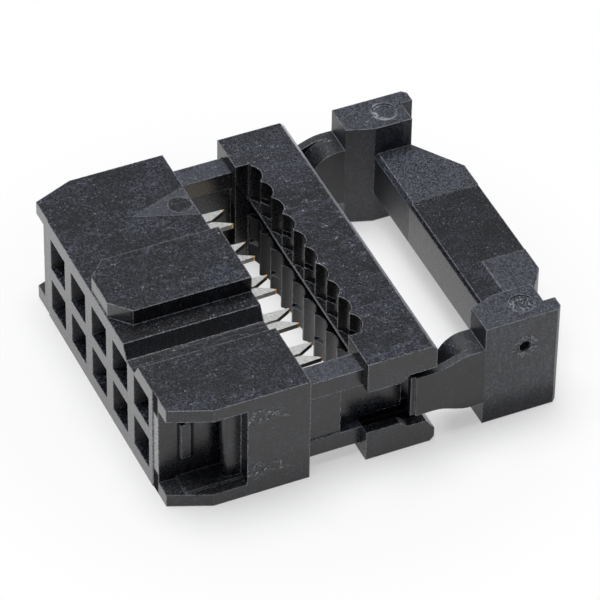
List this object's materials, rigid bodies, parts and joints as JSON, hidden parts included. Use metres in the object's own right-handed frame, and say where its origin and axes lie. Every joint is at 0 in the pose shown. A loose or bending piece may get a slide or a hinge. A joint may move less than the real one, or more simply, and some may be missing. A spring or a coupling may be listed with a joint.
{
  "type": "ribbon cable connector",
  "caption": "Two-row ribbon cable socket with insulation-displacement contacts, a sliding cable cover and a snap-in strain relief, shown open before the cable is fitted.",
  "frame": {"origin": "middle of the mating face, on the centre line between the two rows of sockets", "axes": "+X along the rows, +Y from the mating face to the cable end, +Z out of the side with the polarising key"},
  "size_m": [0.0174, 0.0207, 0.0068],
  "materials": {
    "housing_plastic": "black glass-filled polyester, fine spark-eroded texture with a slight sheen",
    "cover_plastic": "black glass-filled polyester, fine spark-eroded texture with pale specks",
    "relief_plastic": "black glass-filled polyester, coarse texture at the ears and smoother along the bar",
    "contact_metal": "copper alloy strip, bright tin over the forks and gold at the sheared tips"
  },
  "bodies": {
    "housing_body": {"housing": "housing_plastic", "contact_01": "contact_metal", "contact_02": "contact_metal", "contact_03": "contact_metal", "contact_04": "contact_metal", "contact_05": "contact_metal", "contact_06": "contact_metal", "contact_07": "contact_metal", "contact_08": "contact_metal", "contact_09": "contact_metal", "contact_10": "contact_metal"},
    "cover_body": {"cover": "cover_plastic"},
    "strain_relief_body": {"strain_relief": "relief_plastic"}
  },
  "joints": [
    {"name": "cover_slide", "type": "slide", "parent": "housing_body", "child": "cover_body", "axis": [0, 1, 0], "range_m": [-0.00278, 0]},
    {"name": "strain_relief_slide", "type": "slide", "parent": "cover_body", "child": "strain_relief_body", "axis": [0, 1, 0], "range_m": [-0.00125, 0]}
  ]
}
